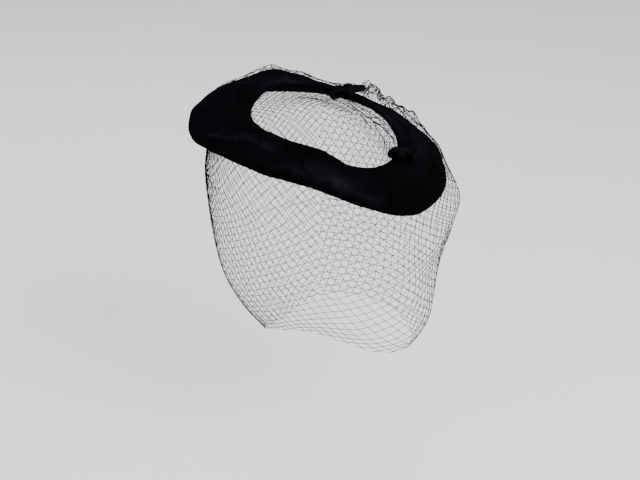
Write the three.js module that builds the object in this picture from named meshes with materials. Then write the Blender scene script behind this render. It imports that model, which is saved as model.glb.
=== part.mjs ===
// A tilt hat: an open ring of black velvet worn forward on the head, two small velvet bows at the edge of
// its opening, a net across the opening, and a face veil of the same net that hangs from the ring down to
// the neck.
//
// Millimetres, +Z up. The wearer looks along -Y, and +X is the wearer's left. The origin is the middle of
// the ring's seat on the head. Bearings run round the hat in degrees: 0 front, 90 left, 180 back, 270 right.
import * as THREE from "three";
import { mergeVertices } from "three/addons/utils/BufferGeometryUtils.js";

// Driving sizes
const RING_TILT = { angle: 15, toward: 25 }; // degrees, and the bearing that dips lowest
const VELVET_WALL = 2.4; // velvet over its stiffened foundation
const NET_WALL = 1; // thickness of a strand of either net
const SEWN_GAP = 0.4; // clearance between two pieces that are sewn together
const VEIL_GAP = 0.6; // the same where the veil's straight strands pass round the ring

// The ring. Each row is a section at one bearing, in the ring's own tilted frame:
//   opening, openingZ  radius and height of the edge of the opening
//   ridge, ridgeZ      radius and height of the fold along the top
//   dip                depth of the crease inside that fold
//   rim, rimZ          outermost radius, and height of the lower edge
const RING_SECTIONS = [
  { bearing: 0, opening: 62, openingZ: 3, ridge: 82, ridgeZ: 7, dip: 1.5, rim: 105, rimZ: -19 },
  { bearing: 45, opening: 61.5, openingZ: 9, ridge: 84, ridgeZ: 9.5, dip: 0.5, rim: 105, rimZ: -18 },
  { bearing: 66, opening: 60.5, openingZ: 13.5, ridge: 82, ridgeZ: 13.5, dip: 0.5, rim: 104, rimZ: -9 },
  { bearing: 90, opening: 59, openingZ: 18, ridge: 76.5, ridgeZ: 16.6, dip: 0.5, rim: 97.5, rimZ: 2 },
  { bearing: 108, opening: 57.5, openingZ: 20.3, ridge: 73, ridgeZ: 16.5, dip: 1, rim: 91, rimZ: 7 },
  { bearing: 130, opening: 54, openingZ: 21, ridge: 71, ridgeZ: 20, dip: 0.5, rim: 92, rimZ: 6 },
  { bearing: 155, opening: 56, openingZ: 21, ridge: 75, ridgeZ: 23, dip: 2, rim: 95, rimZ: 1 },
  { bearing: 168, opening: 57, openingZ: 20, ridge: 77, ridgeZ: 24, dip: 2, rim: 97, rimZ: -1 },
  { bearing: 178, opening: 57, openingZ: 18, ridge: 77, ridgeZ: 18, dip: 1, rim: 97, rimZ: -4 },
  { bearing: 225, opening: 55, openingZ: 7, ridge: 79, ridgeZ: 8, dip: 1, rim: 100, rimZ: -17 },
  { bearing: 270, opening: 54, openingZ: 8, ridge: 74, ridgeZ: 14, dip: 3, rim: 96, rimZ: -10 },
  { bearing: 315, opening: 50, openingZ: 8, ridge: 72, ridgeZ: 15, dip: 1.5, rim: 92, rimZ: -7 },
  { bearing: 337, opening: 56.5, openingZ: 3, ridge: 77, ridgeZ: 7, dip: 2, rim: 98, rimZ: -12.7 },
];
const OPENING_HEM = { reach: 12, drop: 4 }; // the velvet turned under at the opening
const RIM_HEM = { reach: 9, rise: 1.5 }; // the velvet turned under at the lower edge
const SHOULDER_SHARE = 0.5; // height of the widest line, between the lower edge and the ridge
const SKIN = { netSeam: 0.125, rim: 0.76, hem: 0.95 }; // places along the section
const RING_STEPS = 56;
const SKIN_STEPS = 13;

// The top of the veil. Each row is one bearing: the place along the ring's section where the veil is sewn,
// on the shoulder in front and tucked under the hem behind, and how far it stands off the rim there.
const VEIL_TOP = [
  { bearing: 0, seam: 0.68, slack: 4 },
  { bearing: 45, seam: 0.655, slack: 7 },
  { bearing: 90, seam: 0.655, slack: 5 },
  { bearing: 130, seam: 0.655, slack: 2 },
  { bearing: 155, seam: 0.655, slack: 1 },
  { bearing: 178, seam: 0.69, slack: 0 },
  { bearing: 225, seam: 0.96, slack: -3 },
  { bearing: 270, seam: 0.96, slack: -2 },
  { bearing: 315, seam: 0.92, slack: -1 },
];
const SEAM_REACH = { shoulder: 0.655, hem: 0.96 }; // the places along the section that the seam runs between
const TUCK_DROP = 7; // how far below the hem the tucked veil first turns down

// The veil below the ring. Each row is one bearing: radius and height at the brow, cheek and mouth, and then
// at the jaw and hem.
const VEIL_FACE = [
  { bearing: 0, brow: 112, browZ: -62, cheek: 104, cheekZ: -90, mouth: 99, mouthZ: -119 },
  { bearing: 45, brow: 109, browZ: -50, cheek: 96, cheekZ: -84, mouth: 90, mouthZ: -114 },
  { bearing: 90, brow: 104, browZ: -38, cheek: 88, cheekZ: -78, mouth: 79, mouthZ: -110 },
  { bearing: 135, brow: 101, browZ: -28, cheek: 92, cheekZ: -72, mouth: 80, mouthZ: -108 },
  { bearing: 180, brow: 98, browZ: -20, cheek: 94, cheekZ: -66, mouth: 77, mouthZ: -108 },
  { bearing: 225, brow: 89, browZ: -29, cheek: 85, cheekZ: -72, mouth: 76, mouthZ: -111 },
  { bearing: 270, brow: 84, browZ: -38, cheek: 79, cheekZ: -76, mouth: 72, mouthZ: -108 },
  { bearing: 315, brow: 90, browZ: -48, cheek: 88, cheekZ: -80, mouth: 81, mouthZ: -106 },
];
const VEIL_NECK = [
  { bearing: 0, jaw: 95, jawZ: -142, hem: 82, hemZ: -158 },
  { bearing: 45, jaw: 86, jawZ: -138, hem: 74, hemZ: -160 },
  { bearing: 90, jaw: 70, jawZ: -136, hem: 58, hemZ: -150 },
  { bearing: 135, jaw: 62, jawZ: -138, hem: 48, hemZ: -152 },
  { bearing: 180, jaw: 50, jawZ: -144, hem: 38, hemZ: -162 },
  { bearing: 225, jaw: 59, jawZ: -141, hem: 43, hemZ: -161 },
  { bearing: 270, jaw: 60, jawZ: -133, hem: 46, hemZ: -149 },
  { bearing: 315, jaw: 72, jawZ: -126, hem: 58, hemZ: -142 },
];
const VEIL_MESH = { columns: 27, rows: 4, lean: 0.5, strand: 0.05, band: 0.035, sideSteps: 3, endSteps: 2 };

// The net across the opening, a shallow dome.
const CROWN_TOP = 20; // height of its middle in the ring's frame
const CROWN_TURN = 20; // degrees from the front that its strands run
const CROWN_MESH = { columns: 6, rows: 3, strand: 0.055, band: 0.03, sideSteps: 3, endSteps: 2 };

// The two bows at the opening. A bow is placed in the ring's frame by its bearing, radius and height. It
// leans inwards, turns from the edge of the opening and rolls down at its first loop, all in degrees. A loop
// has half of its height, the power that rounds its tip, and the share of its length that is hollow.
const BOWS = [
  {
    name: "back_bow",
    place: { bearing: 114.5, radius: 52, height: 27.5, lean: 0, turn: 42, roll: 14 },
    half: 14,
    loops: [{ belly: 5.6, tip: 5, hollow: 0.92 }, { belly: 3, tip: 1.7, hollow: 0.6 }],
  },
  {
    name: "front_bow",
    place: { bearing: 23, radius: 70.1, height: 13.2, lean: 8, turn: 90, roll: 0 },
    half: 11,
    loops: [{ belly: 4.6, tip: 5, hollow: 0.92 }, { belly: 4.6, tip: 5, hollow: 0.92 }],
  },
];
const RIBBON = { wall: 1.5, waist: 1.7, width: 10 };
const KNOT = { length: 6, wall: 1.8, clear: 0.4, ease: 0.5 };

const rad = THREE.MathUtils.degToRad;

// The value of one column at a bearing, on a smooth curve through the rows that closes on itself.
function around(rows, column, bearing) {
  const turn = ((bearing % 360) + 360) % 360;
  const n = rows.length;
  let k = n - 1;
  while (k > 0 && rows[k].bearing > turn) k -= 1;
  const row = (i) => rows[((i % n) + n) % n];
  const at = (i) => row(i).bearing + 360 * Math.floor(i / n);
  const slope = (i) => (row(i + 1)[column] - row(i - 1)[column]) / (at(i + 1) - at(i - 1));
  const span = at(k + 1) - at(k);
  const t = (turn - at(k)) / span;
  const start = row(k)[column] * (1 + 2 * t) + slope(k) * span * t;
  const end = row(k + 1)[column] * (3 - 2 * t) + slope(k + 1) * span * (t - 1);
  return start * (1 - t) ** 2 + end * t ** 2;
}

// The velvet's outer face at one bearing, as a curve of radius and height from hem to hem over the top.
function ringSkin(bearing) {
  const of = (column) => around(RING_SECTIONS, column, bearing);
  const [opening, openingZ, ridge, ridgeZ] = ["opening", "openingZ", "ridge", "ridgeZ"].map(of);
  const [dip, rim, rimZ] = ["dip", "rim", "rimZ"].map(of);
  const shoulderZ = rimZ + (ridgeZ - rimZ) * SHOULDER_SHARE;
  return new THREE.SplineCurve([
    new THREE.Vector2(opening + OPENING_HEM.reach, openingZ - OPENING_HEM.drop),
    new THREE.Vector2(opening, openingZ),
    new THREE.Vector2(opening + 0.55 * (ridge - opening), openingZ + 0.8 * (ridgeZ - openingZ) + 2 - dip),
    new THREE.Vector2(ridge, ridgeZ),
    new THREE.Vector2(rim, shoulderZ),
    new THREE.Vector2(rim - 0.45 * RIM_HEM.reach, rimZ),
    new THREE.Vector2(rim - RIM_HEM.reach, rimZ + RIM_HEM.rise),
  ]);
}

// A radius and height of the velvet's face, moved off it by a distance: outwards when positive.
function offSkin(bearing, u, distance) {
  const skin = ringSkin(bearing);
  const along = skin.getTangent(u);
  return skin.getPoint(u).add(new THREE.Vector2(-along.y, along.x).multiplyScalar(distance));
}

// A radius and height at a bearing, as a point of the ring's own frame.
function polar(bearing, radius, height) {
  return new THREE.Vector3(radius * Math.sin(rad(bearing)), -radius * Math.cos(rad(bearing)), height);
}

const tiltAxis = new THREE.Vector3(Math.cos(rad(RING_TILT.toward)), Math.sin(rad(RING_TILT.toward)), 0);
const ringTurn = new THREE.Quaternion().setFromAxisAngle(tiltAxis, rad(RING_TILT.angle));

// One closed body from a list of four-cornered faces.
function body(faces) {
  const position = [];
  const corner = (p) => position.push(p.x, p.y, p.z);
  for (const [a, b, c, d] of faces) [a, b, c, a, c, d].forEach(corner);
  const loose = new THREE.BufferGeometry();
  loose.setAttribute("position", new THREE.Float32BufferAttribute(position, 3));
  const welded = mergeVertices(loose, 1e-3);
  welded.computeVertexNormals();
  return welded;
}

// The section of the velvet wall at a bearing: its outer face one way and its inner face back.
function wallSection(bearing) {
  const steps = Array.from({ length: SKIN_STEPS }, (_, k) => k / (SKIN_STEPS - 1));
  const outer = steps.map((u) => offSkin(bearing, u, 0));
  const inner = steps.map((u) => offSkin(bearing, u, -VELVET_WALL)).reverse();
  return [...outer, ...inner].map((p) => polar(bearing, p.x, p.y));
}

function velvetRing() {
  const rows = Array.from({ length: RING_STEPS }, (_, i) => wallSection((360 * i) / RING_STEPS));
  const faces = [];
  rows.forEach((row, i) => {
    const next = rows[(i + 1) % rows.length];
    row.forEach((point, j) => {
      const k = (j + 1) % row.length;
      faces.push([point, row[k], next[k], next[j]]);
    });
  });
  return body(faces);
}

// A net wall on a surface of two parameters, cut through by one gap in each cell of a grid.
function netWall(surface, mesh, closed) {
  const { columns, rows, strand, band, sideSteps, endSteps } = mesh;
  const step = 1e-3;
  const inside = (u, v) => {
    const du = surface(u + step, v).sub(surface(u - step, v));
    const dv = surface(u, v + step).sub(surface(u, v - step));
    return surface(u, v).addScaledVector(du.cross(dv).normalize(), -NET_WALL);
  };
  const edge = (from, to, steps) =>
    Array.from({ length: steps }, (_, k) => from.map((f, axis) => f + ((to[axis] - f) * k) / steps));
  const loop = [
    ...edge([0, 0], [1, 0], endSteps),
    ...edge([1, 0], [1, 1], sideSteps),
    ...edge([1, 1], [0, 1], endSteps),
    ...edge([0, 1], [0, 0], sideSteps),
  ];
  const onBorder = (u, v, u1, v1) => {
    const ends = v === v1 && (v === 0 || v === rows);
    const sides = u === u1 && (u === 0 || u === columns) && !closed;
    return ends || sides;
  };
  const faces = [];
  for (let i = 0; i < columns; i += 1) {
    for (let j = 0; j < rows; j += 1) {
      loop.forEach(([s, t], k) => {
        const [s1, t1] = loop[(k + 1) % loop.length];
        const rim = [[i + s, j + t], [i + s1, j + t1]];
        const gap = [[s, t], [s1, t1]].map(([a, b]) => [
          i + strand + (1 - 2 * strand) * a,
          j + band + (1 - 2 * band) * b,
        ]);
        const [a, b] = rim.map((p) => surface(...p));
        const [c, d] = gap.map((p) => surface(...p));
        const [a1, b1] = rim.map((p) => inside(...p));
        const [c1, d1] = gap.map((p) => inside(...p));
        faces.push([a, b, d, c], [a1, c1, d1, b1], [c, d, d1, c1]);
        if (onBorder(...rim[0], ...rim[1])) faces.push([b, a, a1, b1]);
      });
    }
  }
  return body(faces);
}

// The line that the veil hangs along at a bearing: from its seam on the ring, past the rim, down to the hem.
const hangLines = new Map();
function hangLine(bearing) {
  const key = bearing.toFixed(6);
  if (!hangLines.has(key)) {
    const { lerp, inverseLerp } = THREE.MathUtils;
    const seamAt = around(VEIL_TOP, "seam", bearing);
    const tuck = inverseLerp(SEAM_REACH.shoulder, SEAM_REACH.hem, seamAt);
    const clear = lerp(2 * VEIL_GAP, TUCK_DROP, tuck) + NET_WALL;
    const seam = offSkin(bearing, seamAt, VEIL_GAP + NET_WALL);
    const rim = offSkin(bearing, lerp(SKIN.rim, SKIN.hem, tuck), clear);
    rim.x += around(VEIL_TOP, "slack", bearing);
    const onRing = [seam, rim].map((p) => polar(bearing, p.x, p.y).applyQuaternion(ringTurn));
    const level = (rows, name) =>
      polar(bearing, around(rows, name, bearing), around(rows, name + "Z", bearing));
    const face = ["brow", "cheek", "mouth"].map((name) => level(VEIL_FACE, name));
    const neck = ["jaw", "hem"].map((name) => level(VEIL_NECK, name));
    hangLines.set(key, new THREE.CatmullRomCurve3([...onRing, ...face, ...neck]));
  }
  return hangLines.get(key);
}

function veilSurface(u, v) {
  const bearing = (360 * (u + VEIL_MESH.lean * v)) / VEIL_MESH.columns;
  return hangLine(bearing).getPointAt(Math.min(Math.max(v / VEIL_MESH.rows, 0), 1));
}

// The crown net's surface: its grid is drawn in from a square to the outline of the opening.
function crownSurface(u, v) {
  const [x, y] = [(2 * u) / CROWN_MESH.columns - 1, (2 * v) / CROWN_MESH.rows - 1];
  const [a, b] = [x * Math.sqrt(Math.max(1 - y * y / 2, 0)), y * Math.sqrt(Math.max(1 - x * x / 2, 0))];
  const bearing = CROWN_TURN + THREE.MathUtils.radToDeg(Math.atan2(a, -b));
  const share = Math.hypot(a, b);
  const edge = offSkin(bearing, SKIN.netSeam, SEWN_GAP);
  return polar(bearing, edge.x * share, THREE.MathUtils.lerp(CROWN_TOP, edge.y, share ** 2));
}

// Half the height of a bow at a share of its half length, pinched at the knot and rounded at the ends.
function loopHeight(bow, share, inset) {
  const out = Math.abs(share);
  const { belly, tip } = bow.loops[share > 0 ? 0 : 1];
  const full = RIBBON.waist + (belly - RIBBON.waist) * THREE.MathUtils.smoothstep(out, 0.1, 0.75);
  return full * Math.sqrt(Math.max(1 - out ** tip, 0)) - inset;
}

// The outline of a bow or of the hollow of a loop, seen from the ribbon's edge and pointed at both ends.
function loopOutline(bow, from, to, inset, steps) {
  const shares = Array.from({ length: steps - 1 }, (_, k) => from + ((to - from) * (k + 1)) / steps);
  const side = (way) =>
    shares.map((x) => new THREE.Vector2(x * bow.half, way * loopHeight(bow, x, inset)));
  const end = (x) => new THREE.Vector2(x * bow.half, 0);
  return [end(from), ...side(-1), end(to), ...side(1).reverse()];
}

// A bow's ribbon: a strip folded into two loops, its edge towards the front of its own frame.
function bowRibbon(bow) {
  const [first, second] = bow.loops.map((loop) => loop.hollow);
  const shape = new THREE.Shape(loopOutline(bow, -1, 1, 0, 18));
  shape.holes.push(new THREE.Path(loopOutline(bow, 0.3, first, RIBBON.wall, 7)));
  shape.holes.push(new THREE.Path(loopOutline(bow, -second, -0.3, RIBBON.wall, 7)));
  const strip = new THREE.ExtrudeGeometry(shape, { depth: RIBBON.width, bevelEnabled: false });
  return strip.translate(0, 0, -RIBBON.width / 2).rotateX(Math.PI / 2);
}

// An outline with rounded corners about the middle.
function roundedOutline(path, halfWidth, halfHeight, radius) {
  const [w, h] = [halfWidth - radius, halfHeight - radius];
  path.absarc(w, -h, radius, -Math.PI / 2, 0);
  path.absarc(w, h, radius, 0, Math.PI / 2);
  path.absarc(-w, h, radius, Math.PI / 2, Math.PI);
  path.absarc(-w, -h, radius, Math.PI, 1.5 * Math.PI);
  return path;
}

// A bow's knot: a band of velvet round the waist of the ribbon.
function bowKnot() {
  const [halfWidth, halfHeight] = [RIBBON.width / 2 + KNOT.clear, RIBBON.waist + KNOT.clear + KNOT.ease];
  const outline = [halfWidth + KNOT.wall, halfHeight + KNOT.wall, 2.4];
  const shape = roundedOutline(new THREE.Shape(), ...outline);
  shape.holes.push(roundedOutline(new THREE.Path(), halfWidth, halfHeight, 0.6));
  const extrusion = { depth: KNOT.length, curveSegments: 3, bevelEnabled: false };
  const band = new THREE.ExtrudeGeometry(shape, extrusion);
  return band.translate(0, 0, -KNOT.length / 2).rotateX(Math.PI / 2).rotateZ(Math.PI / 2);
}

// A bow's own frame: its length along the edge of the opening, and its height off the ring.
function bowPlace({ bearing, radius, height, lean, turn, roll }) {
  const matrix = () => new THREE.Matrix4();
  const frame = matrix().makeRotationZ(rad(bearing));
  frame.multiply(matrix().makeRotationX(-rad(lean)));
  frame.multiply(matrix().makeRotationZ(rad(turn)));
  frame.multiply(matrix().makeRotationY(rad(roll)));
  return frame.setPosition(polar(bearing, radius, height));
}

const velvet = new THREE.MeshStandardMaterial({ color: 0x0c0c0f, roughness: 0.95, metalness: 0 });
const net = new THREE.MeshStandardMaterial({ color: 0x101010, roughness: 0.8, metalness: 0 });

function piece(name, geometry, material) {
  const mesh = new THREE.Mesh(geometry, material.clone());
  mesh.name = name;
  return mesh;
}

const tilted = new THREE.Group();
tilted.quaternion.copy(ringTurn);
tilted.add(piece("velvet_ring", velvetRing(), velvet));
tilted.add(piece("crown_net", netWall(crownSurface, CROWN_MESH, false), net));

for (const bow of BOWS) {
  tilted.add(piece(bow.name + "_ribbon", bowRibbon(bow).applyMatrix4(bowPlace(bow.place)), velvet));
  tilted.add(piece(bow.name + "_knot", bowKnot().applyMatrix4(bowPlace(bow.place)), velvet));
}

const hat = new THREE.Group();
hat.add(tilted);
hat.add(piece("veil", netWall(veilSurface, VEIL_MESH, true), net));

export default hat;
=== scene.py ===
"""A tilt hat: an open ring of black velvet, two velvet bows, and a fine square net over the crown and the face.

Metres, +Z up. The wearer looks along -Y and +X is the wearer's left. Bearings run round the hat in degrees:
0 front, 90 left, 180 back, 270 right. Hat sizes are written in millimetres and made metres by MM.
"""

import math

import bpy
import numpy as np
from mathutils import Matrix


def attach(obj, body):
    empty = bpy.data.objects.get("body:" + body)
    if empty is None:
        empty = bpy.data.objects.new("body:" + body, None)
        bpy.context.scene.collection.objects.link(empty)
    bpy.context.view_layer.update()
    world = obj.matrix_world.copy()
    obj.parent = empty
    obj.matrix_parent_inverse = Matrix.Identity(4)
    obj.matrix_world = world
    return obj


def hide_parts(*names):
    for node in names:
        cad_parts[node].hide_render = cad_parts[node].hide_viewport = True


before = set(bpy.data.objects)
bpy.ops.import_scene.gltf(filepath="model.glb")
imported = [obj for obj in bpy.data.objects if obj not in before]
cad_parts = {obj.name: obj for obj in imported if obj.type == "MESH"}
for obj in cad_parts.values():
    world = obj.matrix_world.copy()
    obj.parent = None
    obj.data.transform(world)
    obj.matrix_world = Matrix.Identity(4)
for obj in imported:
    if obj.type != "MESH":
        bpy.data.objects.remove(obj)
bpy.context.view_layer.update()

MM = 0.001

# Ring sections round the hat, in the ring's own tilted frame, in millimetres: radius and height of the opening's
# edge, of the ridge along the top and of the lower rim, and the depth of the crease inside the ridge.
RING_COLUMNS = ("bearing", "opening", "opening_z", "ridge", "ridge_z", "dip", "rim", "rim_z")
RING_SECTIONS = (
    (0, 62, 3, 82, 7, 1.5, 105, -19),
    (45, 61.5, 9, 84, 9.5, 0.5, 105, -18),
    (66, 60.5, 13.5, 82, 13.5, 0.5, 104, -9),
    (90, 59, 18, 76.5, 16.6, 0.5, 97.5, 2),
    (108, 57.5, 20.3, 73, 16.5, 1, 91, 7),
    (130, 54, 21, 71, 20, 0.5, 92, 6),
    (155, 56, 21, 75, 23, 2, 95, 1),
    (168, 57, 20, 77, 24, 2, 97, -1),
    (178, 57, 18, 77, 18, 1, 97, -4),
    (225, 55, 7, 79, 8, 1, 100, -17),
    (270, 54, 8, 74, 14, 3, 96, -10),
    (315, 50, 8, 72, 15, 1.5, 92, -7),
    (337, 56.5, 3, 77, 7, 2, 98, -12.7),
)
RING_TILT = {"angle": 15, "toward": 25}
OPENING_HEM = {"reach": 12, "drop": 4}
RIM_HEM = {"reach": 9, "rise": 1.5, "lowest": 0.45}
# The top between the opening's edge and the ridge: how much of the way across and up it is, and its fullness in mm.
RING_TOP = {"across": 0.55, "climb": 0.8, "full": 2}
VELVET_WALL = 2.0

# The top of the veil round the hat: the place along the ring's section where it is sewn, on the shoulder in front and
# under the hem behind, and how far in millimetres it stands off the rim.
VEIL_TOP_COLUMNS = ("bearing", "seam", "slack")
VEIL_TOP_ROWS = (
    (0, 0.68, 4),
    (38, 0.655, 12.5),
    (62, 0.655, 4),
    (90, 0.655, 2.5),
    (130, 0.655, 2),
    (155, 0.655, 1),
    (178, 0.69, 0),
    (225, 0.96, -3),
    (270, 0.96, -2),
    (315, 0.92, -1),
)

# Veil sections round the hat, in millimetres: radius and height at the brow, cheek, mouth, jaw and hem.
VEIL_COLUMNS = (
    "bearing", "brow", "brow_z", "cheek", "cheek_z", "mouth", "mouth_z", "jaw", "jaw_z", "hem", "hem_z",
)
VEIL_SECTIONS = (
    (0, 112, -62, 104, -90, 99, -119, 95, -142, 82, -158),
    (45, 107, -54, 96, -84, 90, -114, 86, -138, 74, -160),
    (90, 104, -38, 88, -78, 79, -110, 70, -136, 58, -150),
    (135, 101, -28, 92, -72, 80, -108, 62, -138, 48, -152),
    (180, 98, -20, 94, -66, 77, -108, 50, -144, 38, -162),
    (225, 89, -29, 85, -72, 76, -111, 59, -141, 43, -161),
    (270, 84, -38, 79, -76, 72, -108, 60, -133, 46, -149),
    (315, 90, -48, 88, -80, 81, -106, 72, -126, 58, -142),
)


def table(columns, rows):
    """A table's columns by name, as arrays."""
    return dict(zip(columns, np.array(rows, float).T))


RING = table(RING_COLUMNS, RING_SECTIONS)
VEIL_TOP = table(VEIL_TOP_COLUMNS, VEIL_TOP_ROWS)
VEIL = table(VEIL_COLUMNS, VEIL_SECTIONS)


def around(rows, column, bearing):
    """A column at any bearing: a cubic between rows whose slope at each row is that of its two neighbours."""
    at, value = rows["bearing"], rows[column]
    before, after = np.roll(at, 1), np.roll(at, -1)
    before[0] -= 360
    after[-1] += 360
    slope = (np.roll(value, -1) - np.roll(value, 1)) / (after - before)
    turn = np.mod(bearing, 360)
    k = np.searchsorted(at, turn, side="right") - 1
    span = after[k] - at[k]
    t = (turn - at[k]) / span
    n = (k + 1) % len(at)
    start = value[k] * (1 + 2 * t) + slope[k] * span * t
    end = value[n] * (3 - 2 * t) + slope[n] * span * (t - 1)
    return start * (1 - t) ** 2 + end * t**2


def smooth(x, low, high):
    """A step from 0 at low to 1 at high, with level ends."""
    t = np.clip((x - low) / (high - low), 0, 1)
    return t * t * (3 - 2 * t)


def bump(x, middle, half):
    """A rounded bump: 1 at the middle, falling to about 0.02 two half-widths away."""
    return np.exp(-(((x - middle) / half) ** 2))


def turn_gap(bearing, middle):
    """The signed angle from a middle bearing, from -180 to 180."""
    return np.mod(bearing - middle + 180, 360) - 180


# The bows at the opening, in millimetres and degrees: a place in the ring's frame, the lean inwards, the turn from the
# edge and the roll down at the first loop, half of the length, for the first loop and the other half of the height and
# the power that rounds the tip, and how much longer the first loop is and how far its tip droops.
BOW_COLUMNS = (
    "name", "bearing", "radius", "height", "lean", "turn", "roll", "half", "belly", "tip", "other", "other_tip",
    "longer", "droop",
)
BOWS = (
    ("back_bow", 114.5, 52, 27.5, 0, 42, 14, 14, 6.6, 5, 3, 1.7, 1.2, 2.2),
    ("front_bow", 23, 70.1, 13.2, 8, 90, 0, 11, 5.4, 5, 4.6, 5, 1.14, 3),
)

# The velvet's own unevenness: soft waves as (waves round the hat, waves along the section, phase, height in mm).
VELVET_WAVES = ((5, 1.0, 0.4, 0.5), (9, 2.0, 2.1, 0.35), (14, 1.5, 4.0, 0.25), (23, 3.0, 1.2, 0.16))
# The places along the section where the unevenness fades in past the opening's hem, and out towards the lower hem.
RELIEF_IN, RELIEF_OUT = (0.28, 0.4), (0.82, 0.94)
# Swells and creases: (bearing, half-width of bearing, place along the section, half-width there, slant of the place to
# a degree, height in mm).
VELVET_FOLDS = (
    (266, 11, 0.605, 0.020, -0.0042, 1.0),
    (288, 13, 0.567, 0.020, 0.0012, 1.1),
    (266, 12, 0.560, 0.018, -0.0042, -1.3),
    (288, 14, 0.525, 0.018, 0.0012, -1.3),
    (236, 24, 0.775, 0.050, 0.0, 2.4),
    (187, 6, 0.530, 0.090, 0.0, -1.6),
    (168, 6, 0.560, 0.080, 0.0, 1.4),
    (236, 18, 0.550, 0.014, 0.0012, -0.9),
    (335, 20, 0.530, 0.016, 0.0014, -0.8),
    (60, 18, 0.450, 0.020, 0.0010, -0.8),
)
# Painted sheen: streaks where the velvet's colour is made lighter to stand for light caught on the pile, in the same
# columns with a strength from 0 to 1.
PAINTED_SHEEN_STREAKS = (
    (264, 9, 0.630, 0.011, -0.0040, 0.75),
    (284, 12, 0.575, 0.016, 0.0005, 0.6),
    (290, 14, 0.480, 0.045, 0.0, 0.3),
    (319, 19, 0.640, 0.060, 0.0, 0.55),
    (40, 40, 0.480, 0.080, 0.0, 0.35),
    (48, 14, 0.640, 0.045, 0.0, 0.5),
    (110, 45, 0.450, 0.100, 0.0, 0.4),
    (150, 30, 0.240, 0.060, 0.0, 0.5),
    (78, 26, 0.230, 0.060, 0.0, 0.3),
)


def streaks(rows, bearing, u):
    """The sum of slanting rounded bumps in bearing and place along the section."""
    total = np.zeros(np.broadcast(bearing, u).shape)
    for middle, half, place, narrow, slant, height in rows:
        off = turn_gap(bearing, middle)
        total = total + height * bump(off, 0, half) * bump(u, place + slant * off, narrow)
    return total


def velvet_relief(bearing, u):
    """Height of the velvet's face above its plain section: sine waves, swells and creases, dying out at both hems."""
    a = np.radians(bearing)
    relief = sum(h * np.sin(n * a + 2 * np.pi * m * u + p) for n, m, p, h in VELVET_WAVES)
    relief = relief + streaks(VELVET_FOLDS, bearing, u)
    return relief * smooth(u, *RELIEF_IN) * (1 - smooth(u, *RELIEF_OUT))


def section_points(bearing):
    """The seven points that the velvet's face passes through at each bearing, hem to hem over the top."""
    c = {name: around(RING, name, bearing) for name in RING_COLUMNS[1:]}
    shoulder_z = (c["rim_z"] + c["ridge_z"]) / 2
    across = c["opening"] + RING_TOP["across"] * (c["ridge"] - c["opening"])
    across_z = c["opening_z"] + RING_TOP["climb"] * (c["ridge_z"] - c["opening_z"]) + RING_TOP["full"] - c["dip"]
    points = (
        (c["opening"] + OPENING_HEM["reach"], c["opening_z"] - OPENING_HEM["drop"]),
        (c["opening"], c["opening_z"]),
        (across, across_z),
        (c["ridge"], c["ridge_z"]),
        (c["rim"], shoulder_z),
        (c["rim"] - RIM_HEM["lowest"] * RIM_HEM["reach"], c["rim_z"]),
        (c["rim"] - RIM_HEM["reach"], c["rim_z"] + RIM_HEM["rise"]),
    )
    return np.stack([np.stack(p, -1) for p in points], -2)


def through(points, u):
    """A curve through the points of the second last axis, at u from 0 to 1: cubics whose slope at each point is
    half the step between its neighbours. Returns the places and the directions."""
    n = points.shape[-2]
    p = np.clip(u, 0, 1) * (n - 1)
    k = np.minimum(p.astype(int), n - 2)
    w = (p - k)[..., None]

    def pick(i):
        i = np.clip(i, 0, n - 1)
        return np.take_along_axis(points, i[..., None, None], -2)[..., 0, :]

    p0, p1, p2, p3 = pick(k - 1), pick(k), pick(k + 1), pick(k + 2)
    m1, m2 = (p2 - p0) / 2, (p3 - p1) / 2
    a, b = 2 * p1 - 2 * p2 + m1 + m2, -3 * p1 + 3 * p2 - 2 * m1 - m2
    return ((a * w + b) * w + m1) * w + p1, (3 * a * w + 2 * b) * w + m1


def ring_face(bearing, u, lift=0.0, stand=0.0, reach=0.0, plain=False):
    """A point of the velvet's face at a bearing and a place along the section, in the hat's frame in metres. In
    millimetres, lift moves it along the section's normal, reach along the section and stand straight outwards. The
    velvet's relief is added to the lift unless the face is wanted plain."""
    bearing, u = np.broadcast_arrays(np.asarray(bearing, float), np.asarray(u, float))
    place, along = through(section_points(bearing), u)
    along = along / np.linalg.norm(along, axis=-1, keepdims=True)
    normal = np.stack([-along[..., 1], along[..., 0]], -1)
    lift = np.broadcast_to(lift, u.shape) + (0 if plain else velvet_relief(bearing, u))
    place = place + normal * lift[..., None] + along * np.broadcast_to(reach, u.shape)[..., None]
    return tilted(polar(bearing, place[..., 0] + stand, place[..., 1]))


def polar(bearing, radius, height):
    """Radius and height at a bearing, as points."""
    a = np.radians(bearing)
    return np.stack([radius * np.sin(a), -radius * np.cos(a), height], -1)


def tilted(points):
    """Points of the ring's frame, in millimetres, in the hat's frame, in metres."""
    toward, angle = math.radians(RING_TILT["toward"]), math.radians(RING_TILT["angle"])
    axis = np.array([math.cos(toward), math.sin(toward), 0.0])
    along = (points @ axis)[..., None] * axis
    across = points - along
    turned = across * math.cos(angle) + np.cross(axis, across) * math.sin(angle)
    return (along + turned) * MM


def mesh_piece(name, points, faces, material, replaces=()):
    """One object at the origin from an array of points and lists of faces, smooth and riding on the root."""
    mesh = bpy.data.meshes.new(name)
    mesh.from_pydata(points.reshape(-1, 3).tolist(), [], faces)
    mesh.shade_smooth()
    mesh.materials.append(material)
    piece = bpy.data.objects.new(name, mesh)
    bpy.context.scene.collection.objects.link(piece)
    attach(piece, "root")
    if replaces:
        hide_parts(*replaces)
    return piece


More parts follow.
